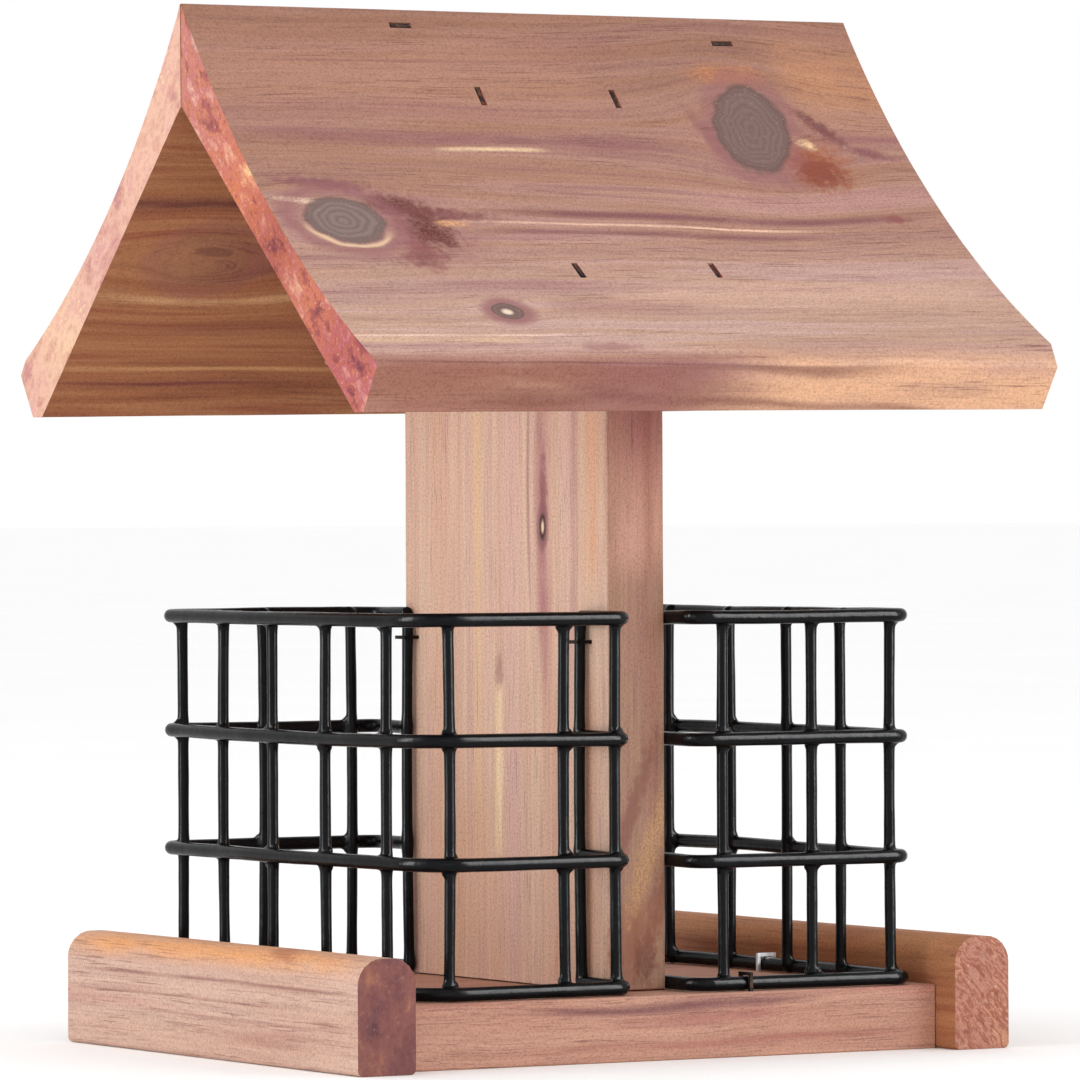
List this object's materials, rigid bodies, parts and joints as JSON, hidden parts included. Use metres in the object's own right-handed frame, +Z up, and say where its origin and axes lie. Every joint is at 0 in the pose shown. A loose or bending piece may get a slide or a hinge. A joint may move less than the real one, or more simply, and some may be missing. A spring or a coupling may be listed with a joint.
{
  "type": "double suet bird feeder",
  "caption": "Cedar suet feeder: coved gable roof on a flat upright board, open-topped black wire baskets on each side, base board with rounded end rails.",
  "frame": {"origin": "middle of the underside of the base board", "axes": "+X along the ridge towards the right end rail, +Y towards the rear, +Z up"},
  "size_m": [0.267, 0.259, 0.36],
  "materials": {
    "roof_cedar": "bare planed red cedar with purple and dark streaks and knots",
    "base_cedar": "bare planed red cedar, pinkish heartwood",
    "rail_cedar": "bare planed red cedar with rounded top edges and dark end grain",
    "upright_cedar": "bare planed cedar, cream sapwood and pink heartwood",
    "hidden_cedar": "bare sawn cedar",
    "dipped_wire": "steel wire dipped in satin black plastic",
    "dark_staple": "dark weathered steel",
    "bright_staple": "galvanised",
    "screw_steel": "zinc plated"
  },
  "bodies": {
    "root": {"base_board": "base_cedar", "basket_left": "dipped_wire", "basket_left_staple_base_rear": "dark_staple", "basket_left_staple_base_side": "bright_staple", "basket_left_staple_upright_front": "dark_staple", "basket_left_staple_upright_rear": "dark_staple", "basket_right": "dipped_wire", "basket_right_staple_base_front": "dark_staple", "basket_right_staple_base_side": "bright_staple", "basket_right_staple_upright_front": "dark_staple", "basket_right_staple_upright_rear": "dark_staple", "end_rail_left": "rail_cedar", "end_rail_right": "rail_cedar", "rail_staple_left_front": "bright_staple", "rail_staple_left_rear": "bright_staple", "rail_staple_right_front": "bright_staple", "rail_staple_right_rear": "bright_staple", "ridge_staple_left": "dark_staple", "ridge_staple_right": "dark_staple", "roof_cleat_left": "hidden_cedar", "roof_cleat_right": "hidden_cedar", "roof_front_board": "roof_cedar", "roof_rear_board": "roof_cedar", "roof_staple_front_lower_left": "dark_staple", "roof_staple_front_lower_right": "dark_staple", "roof_staple_front_upper_left": "dark_staple", "roof_staple_front_upper_right": "dark_staple", "roof_staple_rear_lower_left": "dark_staple", "roof_staple_rear_lower_right": "dark_staple", "roof_staple_rear_upper_left": "dark_staple", "roof_staple_rear_upper_right": "dark_staple", "upright_board": "upright_cedar", "upright_screw_front": "screw_steel", "upright_screw_rear": "screw_steel"}
  },
  "joints": []
}
